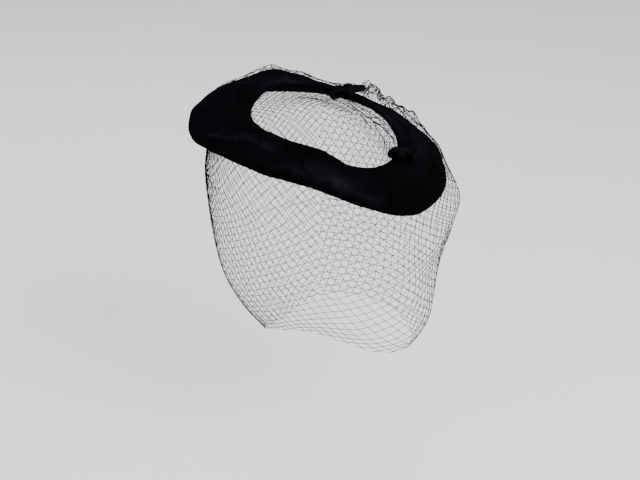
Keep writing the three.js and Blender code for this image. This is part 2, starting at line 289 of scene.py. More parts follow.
def grid_faces(rows, columns, close_rows, close_columns, first=0):
    """Four-cornered faces of a grid of points, joined up along either way where it closes."""
    i, j = np.meshgrid(np.arange(rows - (not close_rows)), np.arange(columns - (not close_columns)), indexing="ij")
    i1, j1 = (i + 1) % rows, (j + 1) % columns
    corners = (i * columns + j, i1 * columns + j, i1 * columns + j1, i * columns + j1)
    return (np.stack(corners, -1).reshape(-1, 4) + first).tolist()


def unit(vectors):
    """Vectors made one long."""
    return vectors / np.maximum(np.linalg.norm(vectors, axis=-1, keepdims=True), 1e-12)


# Shader helpers

# VELVET_LIGHT is the colour that the pile's random tone and the painted sheen lighten the velvet towards.
VELVET_DARK = (0.0009, 0.0009, 0.0011)
VELVET_LIGHT = (0.011, 0.012, 0.016)
THREAD_DARK = (0.0015, 0.0015, 0.0018)
THREAD_LIGHT = (0.004, 0.0038, 0.0036)
PAPER_DARK = (0.90, 0.89, 0.875)
PAPER_LIGHT = (0.94, 0.93, 0.915)
SHEEN_BLUE = (0.72, 0.78, 1.0, 1)
TUFT_RELIEF = 0.35


def add(tree, kind, settings=None, **inputs):
    """A shader node, its settings and the values of its input sockets, with underscores for spaces."""
    node = tree.nodes.new(kind)
    for name, value in (settings or {}).items():
        setattr(node, name, value)
    for name, value in inputs.items():
        node.inputs[name.replace("_", " ")].default_value = value
    return node


def new_group(name, inputs, outputs):
    """An empty node group with named float inputs and outputs, and its two end nodes."""
    tree = bpy.data.node_groups.new(name, "ShaderNodeTree")
    for socket, value in inputs.items():
        tree.interface.new_socket(socket, in_out="INPUT", socket_type="NodeSocketFloat").default_value = value
    for socket in outputs:
        tree.interface.new_socket(socket, in_out="OUTPUT", socket_type="NodeSocketFloat")
    return tree, tree.nodes.new("NodeGroupInput"), tree.nodes.new("NodeGroupOutput")


def make_pile_group():
    """Velvet pile: fine noise for the tufts, stretched noise for the pile's brushing, and broad noise for its wear,
    which vary its tone at random. Puts out a tone and a height."""
    tree, given, result = new_group(
        "velvet pile", {"Tuft Scale": 2600.0, "Brush Scale": 90.0, "Wear Scale": 22.0}, ("Tone", "Height")
    )
    link = tree.links.new
    place = add(tree, "ShaderNodeTexCoord")
    tuft = add(tree, "ShaderNodeTexNoise", Detail=3.0, Roughness=0.7)
    brush = add(tree, "ShaderNodeTexNoise", Detail=4.0, Roughness=0.6, Distortion=0.8)
    wear = add(tree, "ShaderNodeTexNoise", Detail=2.0)
    for noise, scale in ((tuft, "Tuft Scale"), (brush, "Brush Scale"), (wear, "Wear Scale")):
        link(place.outputs["Object"], noise.inputs["Vector"])
        link(given.outputs[scale], noise.inputs["Scale"])
    pile_tone_and_painted_sheen = add(tree, "ShaderNodeMath", {"operation": "MULTIPLY"})
    link(brush.outputs["Fac"], pile_tone_and_painted_sheen.inputs[0])
    link(wear.outputs["Fac"], pile_tone_and_painted_sheen.inputs[1])
    spread = add(tree, "ShaderNodeMapRange", From_Min=0.12, From_Max=0.42)
    link(pile_tone_and_painted_sheen.outputs[0], spread.inputs["Value"])
    link(spread.outputs["Result"], result.inputs["Tone"])
    raised = add(tree, "ShaderNodeMath", {"operation": "MULTIPLY_ADD"})
    raised.inputs[1].default_value = TUFT_RELIEF
    link(tuft.outputs["Fac"], raised.inputs[0])
    link(brush.outputs["Fac"], raised.inputs[2])
    link(raised.outputs[0], result.inputs["Height"])
    return tree


def blended(tree, factor, dark, light):
    """A colour between two, by a factor that varies over the surface."""
    mix = tree.nodes.new("ShaderNodeMix")
    mix.data_type = "RGBA"
    mix.inputs["A"].default_value = (*dark, 1)
    mix.inputs["B"].default_value = (*light, 1)
    tree.links.new(factor, mix.inputs["Factor"])
    return mix.outputs["Result"]


def new_material(name):
    """A material, its tree and its Principled shader."""
    material = bpy.data.materials.new(name)
    material.use_nodes = True
    tree = material.node_tree
    return material, tree, tree.nodes["Principled BSDF"]


def make_velvet(name, pile, brush_scale, tone_and_sheen_share):
    """Black velvet: a very dark ground that the pile's random tone lightens, by an overall share and more along the
    piece's painted sheen streaks, where the colour is made lighter to stand for light on the pile. A faint bluish sheen
    comes from the shader."""
    material, tree, shader = new_material(name)
    link = tree.links.new
    nap = tree.nodes.new("ShaderNodeGroup")
    nap.node_tree = pile
    nap.inputs["Brush Scale"].default_value = brush_scale
    # Painted sheen: the streaks stored on the piece, plus an overall share, lighten the base colour.
    streak = add(tree, "ShaderNodeAttribute", {"attribute_name": "pile_tone_and_painted_sheen"})
    painted_sheen_and_tone = add(tree, "ShaderNodeMath", {"operation": "ADD"})
    painted_sheen_and_tone.inputs[1].default_value = tone_and_sheen_share
    link(streak.outputs["Fac"], painted_sheen_and_tone.inputs[0])
    lit = add(tree, "ShaderNodeMath", {"operation": "MULTIPLY", "use_clamp": True})
    link(nap.outputs["Tone"], lit.inputs[0])
    link(painted_sheen_and_tone.outputs[0], lit.inputs[1])
    link(blended(tree, lit.outputs[0], VELVET_DARK, VELVET_LIGHT), shader.inputs["Base Color"])
    rough = add(tree, "ShaderNodeMapRange", To_Min=0.98, To_Max=0.82)
    link(nap.outputs["Tone"], rough.inputs["Value"])
    link(rough.outputs["Result"], shader.inputs["Roughness"])
    relief = add(tree, "ShaderNodeBump", Strength=0.35, Distance=0.0006)
    link(nap.outputs["Height"], relief.inputs["Height"])
    link(relief.outputs["Normal"], shader.inputs["Normal"])
    shader.inputs["Specular IOR Level"].default_value = 0.0
    shader.inputs["Sheen Weight"].default_value = 0.004
    shader.inputs["Sheen Roughness"].default_value = 0.4
    shader.inputs["Sheen Tint"].default_value = SHEEN_BLUE
    return material


def make_net_thread():
    """Matt black thread: the dye is a little browner in patches, and the twist breaks its gloss."""
    material, tree, shader = new_material("net thread")
    link = tree.links.new
    place = add(tree, "ShaderNodeTexCoord")
    fade = add(tree, "ShaderNodeTexNoise", Scale=40.0, Detail=3.0)
    twist = add(tree, "ShaderNodeTexNoise", Scale=2400.0, Detail=2.0)
    for noise in (fade, twist):
        link(place.outputs["Object"], noise.inputs["Vector"])
    link(blended(tree, fade.outputs["Fac"], THREAD_DARK, THREAD_LIGHT), shader.inputs["Base Color"])
    rough = add(tree, "ShaderNodeMapRange", To_Min=0.55, To_Max=0.9)
    link(twist.outputs["Fac"], rough.inputs["Value"])
    link(rough.outputs["Result"], shader.inputs["Roughness"])
    shader.inputs["Specular IOR Level"].default_value = 0.03
    return material


def make_floor_paper():
    """Pale matt paper with faint mottling."""
    material, tree, shader = new_material("floor paper")
    link = tree.links.new
    place = add(tree, "ShaderNodeTexCoord")
    mottle = add(tree, "ShaderNodeTexNoise", Scale=9.0, Detail=6.0)
    link(place.outputs["Object"], mottle.inputs["Vector"])
    link(blended(tree, mottle.outputs["Fac"], PAPER_DARK, PAPER_LIGHT), shader.inputs["Base Color"])
    shader.inputs["Roughness"].default_value = 0.9
    return material


PILE = make_pile_group()
# The last number is the share of the pile's tone that lightens the colour all over; the bows' larger share is painted
# sheen.
RING_VELVET = make_velvet("ring velvet", PILE, 70.0, 0.12)
BOW_VELVET = make_velvet("bow velvet", PILE, 160.0, 0.65)
NET_THREAD = make_net_thread()


# The velvet ring

RING_BEARINGS = 288
FACE_STEPS = 72
LINING_STEPS = 40
HEM_STEPS = 5


def make_ring():
    """The velvet wall, a closed section carried round every bearing: the face from hem to hem, half a turn round
    the lower hem, the inner side back, and half a turn round the opening's hem."""
    bearing = np.arange(RING_BEARINGS) * 360 / RING_BEARINGS
    half = VELVET_WALL / 2
    turn = np.pi * np.arange(1, HEM_STEPS) / HEM_STEPS
    u = np.concatenate([
        np.linspace(0, 1, FACE_STEPS), np.ones(HEM_STEPS - 1), np.linspace(1, 0, LINING_STEPS), np.zeros(HEM_STEPS - 1),
    ])
    under, over = half * (np.cos(turn) - 1), -half * (np.cos(turn) + 1)
    lift = np.concatenate([np.zeros(FACE_STEPS), under, np.full(LINING_STEPS, -VELVET_WALL), over])
    reach = np.concatenate([np.zeros(FACE_STEPS), half * np.sin(turn), np.zeros(LINING_STEPS), -half * np.sin(turn)])
    points = ring_face(bearing[None, :], u[:, None], lift[:, None], reach=reach[:, None])
    faces = grid_faces(len(u), RING_BEARINGS, True, True)
    ring = mesh_piece("ring_velvet", points, faces, RING_VELVET, ("velvet_ring",))
    # Painted sheen: the streaks' strengths, kept on the velvet's face as a point attribute that lightens its colour.
    face = (lift > -half)[:, None]
    pile_tone_and_painted_sheen = np.where(face, streaks(PAINTED_SHEEN_STREAKS, bearing[None, :], u[:, None]), 0)
    ring.data.attributes.new("pile_tone_and_painted_sheen", "FLOAT", "POINT").data.foreach_set("value", pile_tone_and_painted_sheen.astype("f4").ravel())


# Net threads

# The net's cell, the thread's radius and half of a knot in millimetres, and how flat the knots are.
NET_CELL = 5.5
THREAD = 0.235
KNOT_SIZE = 0.46
KNOT_FLAT = 0.8
SAMPLES_PER_CELL = 3
# The share of a pucker's rise and fall that is left off at each of its ends.
PUCKER_ENDS = 0.1
# Uneven waves of a net's own flat grid: (waves along a, waves along b, phase, height in cells).
ASIDE_WAVES = ((1.1, 0.5, 0.0, 1.0), (-1.7, 0.6, 1.0, 0.7))
DOWN_WAVES = ((-0.4, 0.9, 2.0, 1.0), (0.8, 1.5, 0.0, 0.7))
DRIFT_WAVES = ((0.23, 0.11, 0.0, 0.10), (-0.19, 0.13, 2.0, 0.08))


def tube_mesh(paths, normals, kept, radius):
    """Three-sided tubes along rows of sample points, where the samples are kept: at each sample three corners stand
    at thirds of a turn in the plane of the surface's normal and the thread's side. Both ends of every stretch are
    capped. Returns points and faces."""
    along = unit(np.gradient(paths, axis=1))
    side = unit(np.cross(along, normals))
    up = np.cross(side, along)
    angle = np.pi / 2 + np.arange(3) * 2 * np.pi / 3
    corners = np.cos(angle)[:, None] * side[:, :, None, :] + np.sin(angle)[:, None] * up[:, :, None, :]
    points = (paths[:, :, None, :] + radius * corners)[kept].reshape(-1, 3)
    index = np.where(kept, np.cumsum(kept).reshape(kept.shape) - 1, -1)
    linked = kept[:, :-1] & kept[:, 1:]
    a, b = index[:, :-1][linked] * 3, index[:, 1:][linked] * 3
    quads = [np.stack([a + k, b + k, b + (k + 1) % 3, a + (k + 1) % 3], -1) for k in range(3)]
    padded = np.pad(kept, ((0, 0), (1, 1)))
    first, last = index[kept & ~padded[:, :-2]] * 3, index[kept & ~padded[:, 2:]] * 3
    caps = np.concatenate([np.stack([first, first + 1, first + 2], -1), np.stack([last + 2, last + 1, last], -1)])
    return points, np.concatenate(quads).tolist() + caps.tolist()


def knot_mesh(places, along, normals, size):
    """Small eight-faced knots: two points along one thread, two along the other and two along the normal."""
    side = unit(np.cross(along, normals))
    axes = np.stack([along, side, KNOT_FLAT * normals], 1) * size
    points = np.stack([places + s * axes[:, k] for k in range(3) for s in (1, -1)], 1)
    corners = np.array([[0, 2, 4], [2, 1, 4], [1, 3, 4], [3, 0, 4], [2, 0, 5], [1, 2, 5], [3, 1, 5], [0, 3, 5]])
    faces = (np.arange(len(places)) * 6)[:, None, None] + corners[None]
    return points.reshape(-1, 3), faces.reshape(-1, 3).tolist()


def joined(meshes):
    """Several points-and-faces pairs as one."""
    points, faces, first = [], [], 0
    for p, f in meshes:
        points.append(p)
        faces.extend([[i + first for i in face] for face in f])
        first += len(p)
    return np.concatenate(points), faces


def net_of(name, surface, reach, replaces):
    """A net of two families of threads and their knots, on a surface that is a function of the net's own flat
    grid, which reaches a number of cells each way. The function gives places, normals and which samples lie on the
    cloth."""
    fine = np.arange(-reach * SAMPLES_PER_CELL, reach * SAMPLES_PER_CELL + 1) / SAMPLES_PER_CELL
    whole = np.arange(-reach, reach + 1).astype(float)
    meshes = []
    for swap in (False, True):
        a, b = np.meshgrid(whole, fine, indexing="ij")
        paths, normals, kept = surface(*((b, a) if swap else (a, b)))
        meshes.append(tube_mesh(paths + (0.5 if swap else -0.5) * THREAD * MM * normals, normals, kept, THREAD * MM))
        if not swap:
            along = unit(np.gradient(paths, axis=1))
            crossing = kept & (np.arange(len(fine)) % SAMPLES_PER_CELL == 0)
            meshes.append(knot_mesh(paths[crossing], along[crossing], normals[crossing], KNOT_SIZE * MM))
    net = mesh_piece(name, *joined(meshes), NET_THREAD, replaces)


def drawn_in(x, y, puckers):
    """Flat places drawn in to lines, and the height of the puckers there: each a rounded bump in the distance from its
    line, dying out at both ends."""
    height = 0.0
    for x0, y0, x1, y1, half, rise, draw in puckers:
        along = ((x - x0) * (x1 - x0) + (y - y0) * (y1 - y0)) / ((x1 - x0) ** 2 + (y1 - y0) ** 2)
        along = np.clip(along, 0, 1)
        across_x, across_y = x - x0 - along * (x1 - x0), y - y0 - along * (y1 - y0)
        fading = np.sin(np.pi * (PUCKER_ENDS + (1 - 2 * PUCKER_ENDS) * along))
        near = bump(np.hypot(across_x, across_y), 0, half) * fading
        x, y = x - draw * near * across_x, y - draw * near * across_y
        height = height + rise * near
    return x, y, height


def grid_waves(rows, a, b):
    """The sum of slanting sine waves of a net's own grid, which push the net about."""
    return sum(h * np.sin(m * a + n * b + p) for m, n, p, h in rows)


# The veil

# The veil's hanging lines, the steps down each, the steps between two points of a line and the net's cells each way.
VEIL_LINES = 360
VEIL_STEPS = 280
SPAN_STEPS = 24
VEIL_REACH = 64
# The veil's top: places along the ring's section and lifts in millimetres, where it lies over the ring and where it is
# tucked under the hem.
VEIL_OVER = {"start": 0.47, "seam": 0.655, "rim": 0.76, "lift": 2.2}
VEIL_TUCKED = {"start": 0.985, "seam": 0.96, "rim": 0.95, "lift": 8.0}
# How the net lies on the ring: steps, lift in mm at its top edge and more of it at the seam, and the place and the
# half-width of its puffs along the section.
VEIL_LAID = {"steps": 9, "lift": 0.5, "more": 1.1, "puff": 0.54, "half": 0.07}
# Where the net puffs up off the velvet: (bearing, half-width, height in mm).
VEIL_PUFFS = ((124, 8, 2), (112, 8, 8), (103, 9, 7.5), (90, 12, 4), (79, 11, 5.5), (150, 12, 1.5), (173, 6, 4))
# The crinkles in those puffs: (waves to a degree, waves along the section, phase, share of the puff).
PUFF_CRINKLES = ((0.07, 3.0, 0.3, 0.18), (0.12, -8.0, 1.9, 0.2), (0.21, 13.0, 4.1, 0.1), (0.31, -19.0, 0.7, 0.05))
# Where the net is crumpled beside the back bow: bearing, half-width, the shares of the fall where it dies out, and how
# far it is crumpled, in cells.
TANGLE = {"bearing": 98, "half": 28, "from": 0.08, "to": 0.22, "cells": 0.6}
# Puckers, each along a line: bearing and share of the fall at both ends, half-width and height in mm, and how much of
# the net close by is drawn in to the line.
VEIL_PUCKERS = (
    (232, 0.167, 264, 0.233, 6, 1.4, 0.75),
    (276, 0.275, 320, 0.085, 7, 1.6, 0.8),
    (288, 0.66, 301, 0.605, 4, 0.6, 0.9),
    (301, 0.605, 332, 0.665, 4, 0.6, 0.9),
)
# Where the net is pulled to one side at the top: bearing, half-width and degrees, and the share of the fall where it
# eases.
VEIL_PULL = {"bearing": 278, "half": 32, "degrees": -17, "to": 0.34}
# The flat that puckers and crumples are drawn on: its middle bearing, millimetres to a degree and to the whole fall.
PUCKER_MIDDLE = 270
DEGREE_MM = 1.6
FALL_MM = 170
# The flat net is a fan that narrows to the hem: the bearing at its middle, its share of a turn, its radius in mm at the
# hem, and the slant in degrees of its threads at the middle.
FAN = {"straight_at": 315, "share": 0.42, "hem_radius": 115, "slant": 30}
# Where the net is gathered sideways: (bearing, half-width, extra degrees each side, shares of the fall where it eases).
# The net round a gather gives way over some degrees, and the bearings settle in a number of rounds.
GATHERS = ((248, 30, 8, 0.25, 0.75), (95, 20, 8, 0.25, 0.75), (92, 24, 43, 0.08, 0.24), (108, 10, 13, 0.08, 0.24))
GATHER_EASE = 60
GATHER_ROUNDS = 24
# How far the threads run past both edges of the veil, as a share of the fall.
VEIL_EDGE = 0.008


def curve_through(points, steps):
    """Curves through rows of points, spaced evenly along their length: cubics whose slopes weigh each chord by its
    square root. Returns places (rows, steps, 3) and the length of each."""
    first = 2 * points[:, :1] - points[:, 1:2]
    last = 2 * points[:, -1:] - points[:, -2:-1]
    p = np.concatenate([first, points, last], 1)
    gap = np.sqrt(np.linalg.norm(np.diff(p, axis=1), axis=-1))[..., None]
    p0, p1, p2, p3 = p[:, :-3], p[:, 1:-2], p[:, 2:-1], p[:, 3:]
    d0, d1, d2 = gap[:, :-2], gap[:, 1:-1], gap[:, 2:]
    m1 = ((p1 - p0) / d0 - (p2 - p0) / (d0 + d1) + (p2 - p1) / d1) * d1
    m2 = ((p2 - p1) / d1 - (p3 - p1) / (d1 + d2) + (p3 - p2) / d2) * d1
    w = np.linspace(0, 1, SPAN_STEPS + 1)[:-1][:, None]
    a, b = 2 * p1 - 2 * p2 + m1 + m2, -3 * p1 + 3 * p2 - 2 * m1 - m2
    spans = ((a[:, :, None] * w + b[:, :, None]) * w + m1[:, :, None]) * w + p1[:, :, None]
    line = np.concatenate([spans.reshape(len(points), -1, 3), points[:, -1:]], 1)
    run = np.cumsum(np.linalg.norm(np.diff(line, axis=1), axis=-1), 1)
    run = np.pad(run, ((0, 0), (1, 0)))
    length = run[:, -1]
    row = 2.0 * np.arange(len(points))[:, None]
    at = (np.linspace(0, 1, steps)[None] + row).ravel()
    known = (run / length[:, None] + row).ravel()
    even = [np.interp(at, known, line[..., k].ravel()).reshape(len(points), steps) for k in range(3)]
    return np.stack(even, -1), length


def hang_points(bearing):
    """What the veil passes over at each bearing: the ring from the top edge of the net to its seam, then the rim and
    brow to hem. The tuck runs from 0 where the veil lies over the ring to 1 where it is sewn under the hem."""
    seam = around(VEIL_TOP, "seam", bearing)
    tuck = np.clip((seam - VEIL_OVER["seam"]) / (VEIL_TUCKED["seam"] - VEIL_OVER["seam"]), 0, 1)
    start, rim, drop = (VEIL_OVER[k] + (VEIL_TUCKED[k] - VEIL_OVER[k]) * tuck for k in ("start", "rim", "lift"))
    puff = (1 - tuck) * sum(h * bump(turn_gap(bearing, middle), 0, half) for middle, half, h in VEIL_PUFFS)
    laid = []
    for share in np.linspace(0, 1, VEIL_LAID["steps"]):
        u = start + (seam - start) * share
        crinkle = 1 + sum(h * np.sin(2 * np.pi * (n * bearing + m * u) + p) for n, m, p, h in PUFF_CRINKLES)
        raised = puff * crinkle * bump(u, VEIL_LAID["puff"], VEIL_LAID["half"])
        laid.append(ring_face(bearing, u, VEIL_LAID["lift"] + VEIL_LAID["more"] * share + raised))
    rim = ring_face(bearing, rim, drop, stand=around(VEIL_TOP, "slack", bearing), plain=True)
    below = [
        polar(bearing, around(VEIL, level, bearing), around(VEIL, level + "_z", bearing)) * MM
        for level in ("brow", "cheek", "mouth", "jaw", "hem")
    ]
    return np.stack([*laid, rim, *below], 1)


class VeilCloth:
    """The veil's surface as a table of hanging lines, read at any bearing and share of the fall."""

    def __init__(self):
        bearing = np.arange(VEIL_LINES) * 360 / VEIL_LINES
        self.places, self.lengths = curve_through(hang_points(bearing), VEIL_STEPS)
        down = np.gradient(self.places, axis=1)
        wrapped = np.concatenate([self.places[-1:], self.places, self.places[:1]])
        round_ = np.gradient(wrapped, axis=0)[1:-1]
        self.normals = unit(np.cross(down, round_))

    def fall(self, bearing):
        """The length of the hanging line at a bearing, in millimetres."""
        at = np.mod(bearing, 360) * VEIL_LINES / 360
        k = np.floor(at).astype(int)
        w = at - k
        return (self.lengths[k % VEIL_LINES] * (1 - w) + self.lengths[(k + 1) % VEIL_LINES] * w) / MM

    def at(self, bearing, share):
        """Places and normals at bearings and shares of the fall, between the table's lines and steps."""
        i, j = np.mod(bearing, 360) * VEIL_LINES / 360, np.clip(share, 0, 1) * (VEIL_STEPS - 1)
        i0, j0 = np.floor(i).astype(int), np.minimum(np.floor(j).astype(int), VEIL_STEPS - 2)
        v, w = (i - i0)[..., None], (j - j0)[..., None]
        i1, i0, j1 = (i0 + 1) % VEIL_LINES, i0 % VEIL_LINES, j0 + 1

        def read(values):
            near = values[i0, j0] * (1 - w) + values[i0, j1] * w
            return near * (1 - v) + (values[i1, j0] * (1 - w) + values[i1, j1] * w) * v

        return read(self.places), unit(read(self.normals))


VEIL_CLOTH = VeilCloth()
# Soft folds where the veil hangs free: (folds round the hat, lean, phase, height in mm).
VEIL_FOLDS = ((7, 2.0, 0.6, 0.9), (13, -3.0, 2.4, 0.6), (21, 5.0, 4.4, 0.35))
# Where the folds are full: a bearing, its half-width and the share that is left far from it, the shares of the fall
# between which they set in, and the share of the fall where the hem begins to still them, and by how much.
VEIL_FREE = {"bearing": 60, "half": 70, "least": 0.35}
VEIL_HANGS = {"from": 0.16, "full": 0.3, "hem": 0.8, "stilled": 0.6}


def puckered(bearing, share):
    """Bearings and shares drawn in to the puckers' lines on the flat, and the height of the puckers in millimetres."""
    flat = np.array(VEIL_PUCKERS) * (DEGREE_MM, FALL_MM, DEGREE_MM, FALL_MM, 1, 1, 1)
    flat[:, [0, 2]] -= PUCKER_MIDDLE * DEGREE_MM
    x, y, height = drawn_in(turn_gap(bearing, PUCKER_MIDDLE) * DEGREE_MM, share * FALL_MM, flat)
    return PUCKER_MIDDLE + x / DEGREE_MM, y / FALL_MM, height


def tangled(bearing, share, a, b):
    """Bearings and shares pushed about by waves of the net's own grid, where the net is crumpled."""
    amount = bump(turn_gap(bearing, TANGLE["bearing"]), 0, TANGLE["half"])
    amount = amount * TANGLE["cells"] * NET_CELL * (1 - smooth(share, TANGLE["from"], TANGLE["to"]))
    aside, down = grid_waves(ASIDE_WAVES, a, b), grid_waves(DOWN_WAVES, a, b)
    return bearing + amount * aside / DEGREE_MM, share + amount * down / FALL_MM


def veil_at(bearing, share, height=0.0):
    """The veil with its soft folds and puckers: sine waves along the normal, strongest where it hangs free, and the
    puckers' height in millimetres."""
    places, normals = VEIL_CLOTH.at(bearing, share)
    a = np.radians(bearing)
    near = bump(turn_gap(bearing, VEIL_FREE["bearing"]), 0, VEIL_FREE["half"])
    free = VEIL_FREE["least"] + (1 - VEIL_FREE["least"]) * near
    hanging = smooth(share, VEIL_HANGS["from"], VEIL_HANGS["full"])
    hanging = hanging * (1 - VEIL_HANGS["stilled"] * smooth(share, VEIL_HANGS["hem"], 1.0))
    waves = sum(h * np.sin(n * a + lean * share * np.pi + p) for n, lean, p, h in VEIL_FOLDS)
    return places + normals * ((waves * free * hanging + height) * MM)[..., None], normals


def veil_surface(a, b):
    """The veil's places for the flat net's grid. The grid is turned by its slant and read as a fan: the distance
    from the fan's tip gives the share of the fall, and the angle gives the bearing, with gathers where more net
    goes into each degree. Then the net is pulled aside, crumpled and puckered."""
    drift = grid_waves(DRIFT_WAVES, a, b)
    slant = math.radians(FAN["slant"])
    x = NET_CELL * ((a + drift) * math.cos(slant) - (b - drift) * math.sin(slant))
    y = NET_CELL * ((a + drift) * math.sin(slant) + (b - drift) * math.cos(slant))
    radius, angle = np.hypot(x, y), np.degrees(np.arctan2(x, y)) / FAN["share"]
    off = angle
    for _ in range(GATHER_ROUNDS):
        share = 1 - (radius - FAN["hem_radius"]) / VEIL_CLOTH.fall(FAN["straight_at"] + off)
        bearing = FAN["straight_at"] + off
        extra = 0.0
        for middle, half, more, low, high in GATHERS:
            gap = turn_gap(bearing, middle)
            gathered = np.tanh(gap / half) - np.tanh(gap / GATHER_EASE)
            extra = extra + more * gathered * (1 - smooth(share, low, high))
        off = (off + angle - extra) / 2
    kept = (np.abs(off) < 180) & (share > -VEIL_EDGE) & (share < 1 + VEIL_EDGE)
    bearing = FAN["straight_at"] + off
    pull = bump(turn_gap(bearing, VEIL_PULL["bearing"]), 0, VEIL_PULL["half"]) * VEIL_PULL["degrees"]
    bearing = bearing + pull * (1 - smooth(share, 0, VEIL_PULL["to"]))
    bearing, share = tangled(bearing, share, a, b)
    return (*veil_at(*puckered(bearing, share)), kept)


def make_veil():
    """The veil's net, replacing its coarse solid."""
    net_of("veil_net", veil_surface, VEIL_REACH, ("veil",))


# The crown net

# The crown net: its top in mm above the ring's middle, the turn of its grid, the cells each way, where it is sewn along
# the ring's section and how far below the velvet's face, the depth of the middle that its normals point from, and the
# shares of the way out where its puckers fade and where the threads end.
CROWN_TOP = 20
CROWN_TURN = 12
CROWN_REACH = 22
CROWN_SEAM = {"place": 0.125, "below": 0.4}
CROWN_DEPTH = 90
CROWN_FADE = 0.85
CROWN_EDGE = 1.03
# How the crown net is stretched, or slack where the share is below 0: (bearing, share, distance in mm to set in).
CROWN_DRAWS = ((300, 0.24, 25), (150, -0.30, 25), (68, -0.50, 60), (240, -0.36, 60))
# Where the crown net swells: a place of the ring's frame, its reach and its height in mm.
CROWN_SWELL = {"x": -8, "y": -10, "reach": 36, "height": 8}
# Where the crown net is drawn in to the bows: (bearing, radius, reach in mm, share).
CROWN_PULLS = ((24, 60, 20, 0.45), (60, 55, 26, 0.3), (118, 52, 22, 0.3))
# Puckers in the crown net, each along a line of the ring's frame: both ends, half-width and height in mm, and how much
# of the net close by is drawn in to the line.
CROWN_PUCKERS = (
    (40, 1, 17, -29, 6, 1.4, 0.4),
    (17, -29, 6, -47, 6, 1.2, 0.45),
    (18, -46, 50, -26, 5, 1.0, 0.25),
    (24, -36, 46, -16, 5, 0.8, 0.2),
    (12, -40, 24, -52, 5, 0.8, 0.4),
    (20, 6, 30, 20, 6, 0.8, 0.1),
    (-8, 30, 10, 12, 6, 0.7, 0.1),
)
# Where the crown net is crumpled: a place of the ring's frame, its reach in mm, and how far it is crumpled, in cells.
CROWN_TANGLES = ((44, -28, 15, 0.4), (30, 14, 14, 0.25), (44, -6, 15, 0.4))


def crown_surface(a, b):
    """The crown net's places for its flat grid: the grid is turned, stretched or slackened, drawn in to the bows,
    crumpled and puckered, and laid on a swelling dome that falls with the square of the distance from its middle to
    the opening's seam."""
    turn = math.radians(CROWN_TURN)
    x = NET_CELL * (a * math.cos(turn) - b * math.sin(turn))
    y = NET_CELL * (a * math.sin(turn) + b * math.cos(turn))
    for towards, share, half in CROWN_DRAWS:
        dx, dy = math.sin(math.radians(towards)), -math.cos(math.radians(towards))
        ahead = np.maximum(x * dx + y * dy, 0)
        ahead = ahead * share * np.tanh(ahead / half)
        x, y = x + ahead * dx, y + ahead * dy
    for middle, radius, reach, share in CROWN_PULLS:
        px, py = radius * math.sin(math.radians(middle)), -radius * math.cos(math.radians(middle))
        pull = share * np.exp(-((x - px) ** 2 + (y - py) ** 2) / reach**2)
        x, y = x + pull * (px - x), y + pull * (py - y)
    aside, down = grid_waves(ASIDE_WAVES, a, b), grid_waves(DOWN_WAVES, a, b)
    for px, py, reach, cells in CROWN_TANGLES:
        amount = cells * NET_CELL * np.exp(-((x - px) ** 2 + (y - py) ** 2) / reach**2)
        x, y = x + amount * aside, y + amount * down
    x, y, rise = drawn_in(x, y, CROWN_PUCKERS)
    bearing, radius = np.degrees(np.arctan2(x, -y)), np.hypot(x, y)

    def dome(bearing, radius):
        edge, _ = through(section_points(bearing), np.full(bearing.shape, CROWN_SEAM["place"]))
        share = radius / edge[..., 0]
        held = np.minimum(share, 1)
        away = (x - CROWN_SWELL["x"]) ** 2 + (y - CROWN_SWELL["y"]) ** 2
        top = CROWN_TOP + CROWN_SWELL["height"] * np.exp(-away / CROWN_SWELL["reach"] ** 2)
        height = top + (edge[..., 1] - CROWN_SEAM["below"] - top) * held**2
        return polar(bearing, held * edge[..., 0], height), share

    places, share = dome(bearing, radius)
    normals = unit(places - np.array([0, 0, CROWN_TOP - CROWN_DEPTH]))
    places = places + normals * (rise * (1 - smooth(share, CROWN_FADE, 1.0)))[..., None]
    return tilted(places), unit(tilted(normals)), share < CROWN_EDGE


def make_crown():
    """The net across the opening, replacing its coarse solid."""
    net_of("crown_netting", crown_surface, CROWN_REACH, ("crown_net",))


# The bows

# The strip, in mm: its wall, half of its height at the waist, its width, how far its loops close towards its edges, the
# curl of its edges, the shares of its width left at the knot and taken off at the tips, the power that rounds its
# section, and its cut as a factor of half of its length.
RIBBON = {
    "wall": 1.3, "waist": 1.7, "width": 10, "closing": 0.45, "curl": 0.9, "neck": 0.74, "tip": 0.12, "corner": 0.5,
    "cut": 2.2,
}
# The shares of a loop's length between which each of these sets in, or for the pleats dies out.
RIBBON_SETS = {
    "swell": (0.1, 0.75), "pleats": (0.2, 0.95), "closing": (0.25, 0.5), "neck": (0.1, 0.65), "tip": (0.8, 1.0),
}
# The shares of the way from the strip's middle to its edges between which the loops close.
CLOSING_EDGE = (0.1, 1.0)
# Pleats across the strip: (half waves, phase, height in mm).
RIBBON_PLEATS = ((3, 1.0, 0.55), (5, 0.0, 0.25))
# The band, in mm: its length along the bow, its half-sizes, its wall, and the powers that round its loop and section.
KNOT = {"length": 6, "half_width": 6.6, "half_height": 4.2, "wall": 1.8, "corner": 0.7, "edge": 0.8}
# Its pleats: height in mm, half waves, phase, the share that is the same all round, and waves round the band.
KNOT_PLEATS = {"height": 0.3, "waves": 2.5, "phase": 0.6, "steady": 0.6, "round": 3}
RIBBON_STEPS = 96
STRIP_STEPS = 28
KNOT_STEPS = 40
BAND_STEPS = 20


def bow_frame(bow):
    """A bow's middle and its axes: along its length, across it towards the hat's middle, and up. The axes of its
    bearing are leaned inwards, turned from the edge of the opening and rolled down at the first loop."""
    steps = (("Z", bow["bearing"]), ("X", -bow["lean"]), ("Z", bow["turn"]), ("Y", bow["roll"]))
    axes = np.eye(3)
    for axis, angle in steps:
        axes = axes @ np.array(Matrix.Rotation(math.radians(angle), 3, axis))
    along, across, up = unit(tilted(axes.T))
    return tilted(polar(bow["bearing"], bow["radius"], bow["height"])), along, across, up


